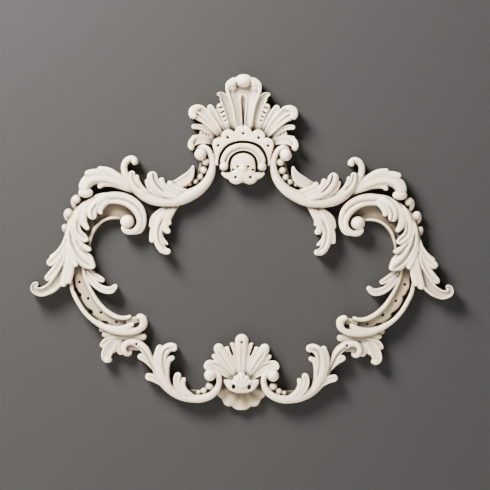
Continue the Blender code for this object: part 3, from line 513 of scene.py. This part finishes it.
# A plate: a grid wrapped round its middle out to a smooth outline, bulged, with a rounded edge.
def addPlate(name, middle, outline, crown, rim, edge, flutes=None):
    corners = np.array(outline, float)
    places = np.linspace(0, len(corners), casting["curveSteps"] * len(corners), endpoint=False)
    k = places.astype(int)
    t = (places - k)[:, None]
    before, start, end, after = (corners[(k + step) % len(corners)] for step in (-1, 0, 1, 2))
    ring = 0.5 * (2 * start + (end - before) * t + (2 * before - 5 * start + 4 * end - after) * t**2
                  + (3 * start - before - 3 * end + after) * t**3)
    ring = np.concatenate((ring, ring[:1]))
    walked = np.concatenate(([0.0], np.cumsum(np.hypot(*np.diff(ring, axis=0).T))))
    aroundLines = int(walked[-1] / plateGrid["step"])
    outLines = int(np.abs(corners - middle).max() / plateGrid["outStep"]) + plateGrid["spareLines"]
    bpy.ops.mesh.primitive_grid_add(x_subdivisions=aroundLines, y_subdivisions=outLines, size=2)
    plate = bpy.context.object
    plate.name = name
    co = readPoints(plate)
    around = (co[:, 0] + 1) / 2 * walked[-1]
    out = (co[:, 1] + 1) / 2
    edgeX, edgeZ = (np.interp(around, walked, ring[:, axis]) - middle[axis] for axis in range(2))
    inset = np.hypot(edgeX, edgeZ) * (1 - out)
    height = rim + (crown - rim) * (1 - out ** 2)
    height = height - edge * (1 - np.sqrt(np.clip(1 - np.clip(1 - inset / edge, 0, 1) ** 2, 0, 1)))
    if flutes:
        count, depth = flutes
        height = height - depth * out * (0.5 - 0.5 * np.cos(np.arctan2(edgeX, -edgeZ) * count))
    placed = np.stack((middle[0] + edgeX * out, -height, middle[1] + edgeZ * out), axis=1)
    writePoints(plate, placed * mm)
    return plate


ballGrid = {
    "segments": 40,
    "rings": 24,
    "footShare": 0.9,           # a foot is this much narrower than its ball
}


def addBall(x, z, halfWidth, halfHeight, top):
    radius = min(halfWidth, halfHeight)
    bpy.ops.mesh.primitive_uv_sphere_add(
        segments=ballGrid["segments"], ring_count=ballGrid["rings"], radius=1,
        location=(x * mm, -(top - radius) * mm, z * mm),
        scale=(halfWidth * mm, radius * mm, halfHeight * mm))
    ball = bpy.context.object
    ball.name = "ball"
    bpy.ops.object.transform_apply(location=True, rotation=True, scale=True)
    return ball


# The straight foot that carries a ball down to the wall.
def addFoot(x, z, halfWidth, halfHeight, top):
    depth = top + casting["behindWall"]
    share = ballGrid["footShare"]
    bpy.ops.mesh.primitive_cylinder_add(
        vertices=ballGrid["segments"], radius=1, depth=1,
        location=(x * mm, (casting["behindWall"] - depth / 2) * mm, z * mm), rotation=(math.pi / 2, 0, 0))
    foot = bpy.context.object
    foot.name = "foot"
    foot.scale = (halfWidth * share * mm, halfHeight * share * mm, depth * mm)
    bpy.ops.object.transform_apply(location=True, rotation=True, scale=True)
    return foot


def addBallOnFoot(x, z, halfWidth, halfHeight, top):
    ball = addBall(x, z, halfWidth, halfHeight, top)
    return [ball, addFoot(x, z, halfWidth, halfHeight, top - min(halfWidth, halfHeight))]


# A moulding along an arc.
def addArc(middle, halfWidth, halfHeight, width, height, reach):
    turns = np.radians(np.linspace(-reach, reach, casting["arcPoints"]))
    points = [(middle[0] + halfWidth * math.sin(a), middle[1] + halfHeight * math.cos(a), width)
              for a in turns]
    return addLeaf("arcMoulding", "soft", height, height, points, fade=0)


# Places of beads that shrink along a bent row.
def beadRow(first, last, bend, count, top):
    row = []
    for i in range(count):
        t = i / (count - 1)
        x, z = ((1 - t) ** 2 * first[k] + 2 * t * (1 - t) * bend[k] + t * t * last[k] for k in range(2))
        radius = first[2] + (last[2] - first[2]) * t
        row.append((x, z, radius, radius, top - (first[2] - radius)))
    return row


def deselect():
    bpy.ops.object.select_all(action="DESELECT")


def selectOnly(piece):
    deselect()
    piece.select_set(True)
    bpy.context.view_layer.objects.active = piece


def joinAll(parts, name):
    deselect()
    for part in parts:
        part.select_set(True)
    bpy.context.view_layer.objects.active = parts[0]
    bpy.ops.object.join()
    joined = bpy.context.object
    joined.name = name
    return joined


# Draws every open sheet back to a flat plane behind the wall.
def thickenToWall(sheet):
    selectOnly(sheet)
    bpy.ops.object.mode_set(mode="EDIT")
    bpy.ops.mesh.select_all(action="SELECT")
    bpy.ops.mesh.extrude_region_move(TRANSFORM_OT_translate={"value": (0, casting["drawBack"], 0)})
    bpy.ops.transform.resize(value=(1, 0, 1), center_override=(0, casting["behindWall"] * mm, 0))
    bpy.ops.object.mode_set(mode="OBJECT")


def applyModifier(piece, name, kind, **settings):
    modifier = piece.modifiers.new(name, kind)
    for key, value in settings.items():
        setattr(modifier, key, value)
    selectOnly(piece)
    bpy.ops.object.modifier_apply(modifier=name)


deselect()
leftSheets, centreSheets, leftBalls, centreBalls = [], [], [], []
for leaves in (wingLeaves, hangingLeaves, cornerLeaves, sideLeaves, bandLeaves, linkLeaves, sprayLeaves,
               shellLeaves, crestLeaves):
    leftSheets += [addLeaf(name, *row) for name, row in leaves.items()]
for leaves in (shellCentreLeaves, crestCentreLeaves):
    centreSheets += [addLeaf(name, *row) for name, row in leaves.items()]
centreSheets += [addArc(*arc) for arc in crestArcs]
for plates in (shellCentrePlates, crestCentrePlates):
    centreSheets += [addPlate(name, *row) for name, row in plates.items()]
print("leaves laid out:", len(leftSheets), "left and", len(centreSheets), "centre")

leftSheet = joinAll(leftSheets, "leftSheet")
thickenToWall(leftSheet)
centreSheet = joinAll(centreSheets, "centreSheet")
thickenToWall(centreSheet)

for row in (wingBalls + cornerBalls + linkBalls + sprayBalls + crestBalls
            + tuple(beadRow(*wingBeads)) + tuple(beadRow(*sprayBeads))):
    leftBalls += addBallOnFoot(*row)
for row in crestCentreBalls:
    centreBalls += addBallOnFoot(*row)
leftHalf = joinAll([leftSheet] + leftBalls, "leftHalf")

selectOnly(leftHalf)
bpy.ops.object.duplicate()
rightHalf = bpy.context.object
writePoints(rightHalf, readPoints(rightHalf) * (-1, 1, 1))
bpy.ops.object.mode_set(mode="EDIT")
bpy.ops.mesh.select_all(action="SELECT")
bpy.ops.mesh.flip_normals()
bpy.ops.object.mode_set(mode="OBJECT")
carving = joinAll([leftHalf, rightHalf, centreSheet] + centreBalls, "rococoFrame")
selectOnly(carving)
bpy.ops.object.mode_set(mode="EDIT")
bpy.ops.mesh.select_all(action="SELECT")
bpy.ops.mesh.normals_make_consistent(inside=False)
bpy.ops.object.mode_set(mode="OBJECT")
print("carving joined:", len(carving.data.vertices), "points")

applyModifier(carving, "fuse", "REMESH", mode="VOXEL", voxel_size=casting["step"] * mm)
applyModifier(carving, "soften", "SMOOTH", factor=casting["softenShare"], iterations=casting["softenRounds"])
print("carving fused:", len(carving.data.vertices), "points")


grooveCut = {
    "steps": 60,                # pieces that a groove's path is walked in
    "endShare": 0.2,            # it grows shallower over this share of its length at each end
    "shortEnd": 0.5,            # depth that a two-point groove keeps at its ends
    "shoulder": 1.3,            # how narrow the cut is within its width
    "roundness": 2.4,           # how flat its floor is
    "margin": 8,                # nothing further from the path is cut, mm
    "leastHeight": 3,           # nothing lower than this is cut, mm
    "floor": 2,                 # no cut goes lower than this, mm
    "centreReach": 0.5,         # a groove this near the centre line is cut once, mm
}


# The cut of one groove at places x, z, as a share of its depth: soft-shouldered, shallower at its ends.
def grooveShare(x, z, path):
    curve = midribCurve(path)[0]
    curve = curve[::max(1, len(curve) // grooveCut["steps"])]
    steps = len(curve) - 1
    openEnd = grooveCut["shortEnd"] if len(path) == 2 else 0.0
    deepest = np.zeros(len(x))
    for i, (start, stop) in enumerate(zip(curve, curve[1:])):
        run = stop[:2] - start[:2]
        t = np.clip(((x - start[0]) * run[0] + (z - start[1]) * run[1]) / ((run ** 2).sum() + 1e-9), 0, 1)
        width = start[2] + (stop[2] - start[2]) * t
        away = np.hypot(x - start[0] - t * run[0], z - start[1] - t * run[1]) / (width / 2)
        toEnd = np.minimum((i + t) / steps, 1 - (i + t) / steps)
        nearEnd = np.clip(toEnd / grooveCut["endShare"], 0, 1)
        end = openEnd + (1 - openEnd) * nearEnd * (2 - nearEnd)
        cut = end * np.exp(-grooveCut["shoulder"] * away ** grooveCut["roundness"])
        deepest = np.maximum(deepest, cut)
    return deepest


def cutGrooves(piece, rows):
    co = readPoints(piece)
    front = -co[:, 1] / mm > grooveCut["leastHeight"]
    margin = grooveCut["margin"]
    for depth, path in rows.values():
        reach = np.array(path)[:, :2]
        centred = abs(path[0][0]) + abs(path[-1][0]) <= grooveCut["centreReach"]
        for side in ((1,) if centred else (1, -1)):
            x, z = side * co[:, 0] / mm, co[:, 2] / mm
            near = front & (x > reach[:, 0].min() - margin) & (x < reach[:, 0].max() + margin)
            near &= (z > reach[:, 1].min() - margin) & (z < reach[:, 1].max() + margin)
            cut = depth * grooveShare(x[near], z[near], path)
            co[near, 1] = np.minimum(co[near, 1] + cut * mm, -grooveCut["floor"] * mm)
    writePoints(piece, co)


dimplePress = {
    "reach": 1.35,              # out to this share of the dimple's size
    "steepness": 9,
    "leastHeight": 5,           # nothing lower than this is pressed, mm
}


def pressDimples(piece, groups):
    co = readPoints(piece)
    reach, steepness = dimplePress["reach"], dimplePress["steepness"]
    for group in groups.values():
        for x, z, halfWidth, halfHeight, depth in group:
            for side in ((1, -1) if x else (1,)):
                away = np.hypot((co[:, 0] / mm - side * x) / halfWidth, (co[:, 2] / mm - z) / halfHeight)
                near = (away < reach) & (co[:, 1] < -dimplePress["leastHeight"] * mm)
                co[near, 1] += depth * mm / (1 + np.exp((away[near] - 1) * steepness))
    writePoints(piece, co)


cutGrooves(carving, grooves)
pressDimples(carving, drilled)
print("grooves and dimples cut")
share = casting["mostTriangles"] / (2 * len(carving.data.polygons))
applyModifier(carving, "fewer", "DECIMATE", ratio=min(1, share))

backCut = {
    "size": 2,
    "middleHeight": -0.2,
    "cuts": 99,                 # small faces on the cutter leave small faces on the back
}
bpy.ops.mesh.primitive_cube_add(
    size=backCut["size"], location=(0, backCut["size"] / 2, backCut["middleHeight"]))
backCutter = bpy.context.object
bpy.ops.object.mode_set(mode="EDIT")
bpy.ops.mesh.subdivide(number_cuts=backCut["cuts"])
bpy.ops.object.mode_set(mode="OBJECT")
applyModifier(carving, "flatBack", "BOOLEAN", operation="DIFFERENCE", solver="MANIFOLD", object=backCutter)
bpy.data.objects.remove(backCutter)

low, high = (np.array(corner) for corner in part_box("rococo_frame"))
writePoints(carving, np.clip(readPoints(carving), low, high))
selectOnly(carving)
bpy.ops.object.shade_smooth_by_angle(angle=math.radians(casting["creaseAngle"]))
print("carving finished:", len(carving.data.polygons), "faces")

plaster = {
    "roughness": 0.55,
    "specular": 0.35,
    "blotchScale": 14,
    "blotchDetail": 6,
    "blotchRange": (0.35, 0.65),
    "darkTone": (0.655, 0.53, 0.36, 1),
    "lightTone": (0.72, 0.60, 0.42, 1),
    # painted shade: concave creases, found by their pointiness, are darkened towards this brown tone
    "paintedCreaseShadeRange": (0.455, 0.52),
    "paintedCreaseShadeTone": (0.26, 0.21, 0.165, 1),
    # painted shade: ambient occlusion within this reach darkens sheltered hollows and gaps with this tint
    "paintedShadeReach": 0.018,
    "paintedShadeSamples": 8,
    "paintedShadeRange": (0.4, 1.0),
    "paintedShadeTint": (0.12, 0.10, 0.077, 1),
    "paintedDepthShadeRange": (-0.010, -0.026),      # painted shade: the colour is darkened towards the wall, fading out from 10 to 26 mm in front of it
    "paintedDepthShadeTint": (0.37, 0.33, 0.275, 1),
    "grainScale": 420,
    "grainDetail": 4,
    "grainStrength": 0.12,
    "grainDepth": 0.0006,
}


def newMaterial(name):
    material = bpy.data.materials.new(name)
    material.use_nodes = True
    return material, material.node_tree.nodes, material.node_tree.links


def addNoise(nodes, links, place, scale, detail):
    noise = nodes.new("ShaderNodeTexNoise")
    noise.inputs["Scale"].default_value = scale
    noise.inputs["Detail"].default_value = detail
    links.new(place.outputs["Object"], noise.inputs["Vector"])
    return noise


# How far a value is on its way through a range, from 0 to 1.
def addShare(nodes, links, value, ends):
    share = nodes.new("ShaderNodeMapRange")
    share.inputs["From Min"].default_value, share.inputs["From Max"].default_value = ends
    links.new(value, share.inputs["Value"])
    return share.outputs["Result"]


# Tints a colour where the share is 0 and leaves it as it is where the share is 1.
def addTint(nodes, links, colour, share, tint):
    shade = nodes.new("ShaderNodeMix")
    shade.data_type = "RGBA"
    shade.inputs["A"].default_value = tint
    shade.inputs["B"].default_value = (1, 1, 1, 1)
    links.new(share, shade.inputs["Factor"])
    tinted = nodes.new("ShaderNodeMix")
    tinted.data_type = "RGBA"
    tinted.blend_type = "MULTIPLY"
    tinted.inputs["Factor"].default_value = 1
    links.new(colour, tinted.inputs["A"])
    links.new(shade.outputs["Result"], tinted.inputs["B"])
    return tinted.outputs["Result"]


def plasterMaterial():
    material, nodes, links = newMaterial("warmWhitePlaster")
    shader = nodes["Principled BSDF"]
    shader.inputs["Roughness"].default_value = plaster["roughness"]
    shader.inputs["Specular IOR Level"].default_value = plaster["specular"]
    place = nodes.new("ShaderNodeTexCoord")
    blotch = addNoise(nodes, links, place, plaster["blotchScale"], plaster["blotchDetail"])
    tone = nodes.new("ShaderNodeValToRGB")
    dark, light = tone.color_ramp.elements
    dark.position, light.position = plaster["blotchRange"]
    dark.color, light.color = plaster["darkTone"], plaster["lightTone"]
    links.new(blotch.outputs["Fac"], tone.inputs["Fac"])

    # Painted shade: concave creases and hollows, found by their pointiness, are darkened towards a brown
    # tone.
    form = nodes.new("ShaderNodeNewGeometry")
    paintedCreaseShade = nodes.new("ShaderNodeMix")
    paintedCreaseShade.data_type = "RGBA"
    paintedCreaseShade.inputs["A"].default_value = plaster["paintedCreaseShadeTone"]
    links.new(addShare(nodes, links, form.outputs["Pointiness"], plaster["paintedCreaseShadeRange"]),
              paintedCreaseShade.inputs["Factor"])
    links.new(tone.outputs["Color"], paintedCreaseShade.inputs["B"])

    # Painted shade: ambient occlusion darkens hollows, gaps and the parts under overhangs.
    occlusionShade = nodes.new("ShaderNodeAmbientOcclusion")
    occlusionShade.samples = plaster["paintedShadeSamples"]
    occlusionShade.inputs["Distance"].default_value = plaster["paintedShadeReach"]
    unshadedShare = addShare(nodes, links, occlusionShade.outputs["AO"], plaster["paintedShadeRange"])
    withPaintedOcclusionShade = addTint(nodes, links, paintedCreaseShade.outputs["Result"], unshadedShare, plaster["paintedShadeTint"])

    # Painted shade: the colour is darkened on the low parts near the wall, where the recesses lie.
    depthOf = nodes.new("ShaderNodeSeparateXYZ")
    links.new(place.outputs["Object"], depthOf.inputs["Vector"])
    raised = addShare(nodes, links, depthOf.outputs["Y"], plaster["paintedDepthShadeRange"])
    withPaintedDepthShade = addTint(nodes, links, withPaintedOcclusionShade, raised, plaster["paintedDepthShadeTint"])
    links.new(withPaintedDepthShade, shader.inputs["Base Color"])

    grain = addNoise(nodes, links, place, plaster["grainScale"], plaster["grainDetail"])
    bump = nodes.new("ShaderNodeBump")
    bump.inputs["Strength"].default_value = plaster["grainStrength"]
    bump.inputs["Distance"].default_value = plaster["grainDepth"]
    links.new(grain.outputs["Fac"], bump.inputs["Height"])
    links.new(bump.outputs["Normal"], shader.inputs["Normal"])
    return material


def plainMaterial(name, colour, roughness, specular):
    material, nodes, links = newMaterial(name)
    shader = nodes["Principled BSDF"]
    shader.inputs["Base Color"].default_value = colour
    shader.inputs["Roughness"].default_value = roughness
    shader.inputs["Specular IOR Level"].default_value = specular
    return material


carving.data.materials.clear()
carving.data.materials.append(plasterMaterial())
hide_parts("rococo_frame")
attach(carving, "root")

studio = {
    "wallSink": 0.0005,         # the flat back is let into the wall by this much, so it shows from behind
    "wallHalf": 3.0,
    "floorHeight": -0.95,
    "wallColour": (0.0285, 0.0272, 0.026, 1),
    "wallRoughness": 0.9,
    "wallSpecular": 0.05,
    "floorColour": (0.78, 0.77, 0.75, 1),
    "floorRoughness": 0.8,
    "floorSpecular": 0.3,
    "roomColour": (1, 0.985, 0.965, 1),
    "roomStrength": 0.09,
    "aim": (0, 0, -0.2),
    "cameraDistance": 5.0,
    "sensorWidth": 36,
    "viewWidth": 0.982,
    "viewCentre": (0.0050, -0.2091),
    "viewRoll": -0.42,
    "meanRelief": 0.028,
}

# Each light: its place, its size in metres and its power in watts.
lights = {
    "keyLight": ((-1.35, -1.35, 1.6), 1.1, 540),
    "fillLight": ((1.6, -3.0, 0.1), 2.2, 5),
    "backLight": ((1.5, 2.8, 1.4), 2.0, 480),
}


def makeStudio():
    bpy.ops.mesh.primitive_plane_add(
        size=2 * studio["wallHalf"], location=(0, -studio["wallSink"], 0), rotation=(math.pi / 2, 0, 0))
    wall = bpy.context.object
    wall.name = "wall"
    wall.data.materials.append(plainMaterial(
        "wallPaint", studio["wallColour"], studio["wallRoughness"], studio["wallSpecular"]))
    bpy.ops.mesh.primitive_plane_add(
        size=2 * studio["wallHalf"], location=(0, -studio["wallHalf"], studio["floorHeight"]))
    floor = bpy.context.object
    floor.name = "floor"
    floor.data.materials.append(plainMaterial(
        "floorPaint", studio["floorColour"], studio["floorRoughness"], studio["floorSpecular"]))


def addLight(name, place, size, power):
    bpy.ops.object.light_add(type="AREA", location=place)
    light = bpy.context.object
    light.name = name
    light.data.size = size
    light.data.energy = power
    away = np.array(studio["aim"]) - np.array(place)
    light.rotation_mode = "QUATERNION"
    light.rotation_quaternion = mathutils.Vector(away).to_track_quat("-Z", "Y")


makeStudio()
for name, row in lights.items():
    addLight(name, *row)
world = bpy.data.worlds.new("softRoom")
bpy.context.scene.world = world
world.use_nodes = True
world.node_tree.nodes["Background"].inputs["Color"].default_value = studio["roomColour"]
world.node_tree.nodes["Background"].inputs["Strength"].default_value = studio["roomStrength"]

distance = studio["cameraDistance"]
centreX, centreZ = studio["viewCentre"]
bpy.ops.object.camera_add(
    location=(centreX, -distance - studio["meanRelief"], centreZ),
    rotation=(math.pi / 2, math.radians(studio["viewRoll"]), 0))
camera = bpy.context.object
camera.data.sensor_width = studio["sensorWidth"]
camera.data.lens = studio["sensorWidth"] * distance / studio["viewWidth"]
bpy.context.scene.camera = camera
print("studio set")
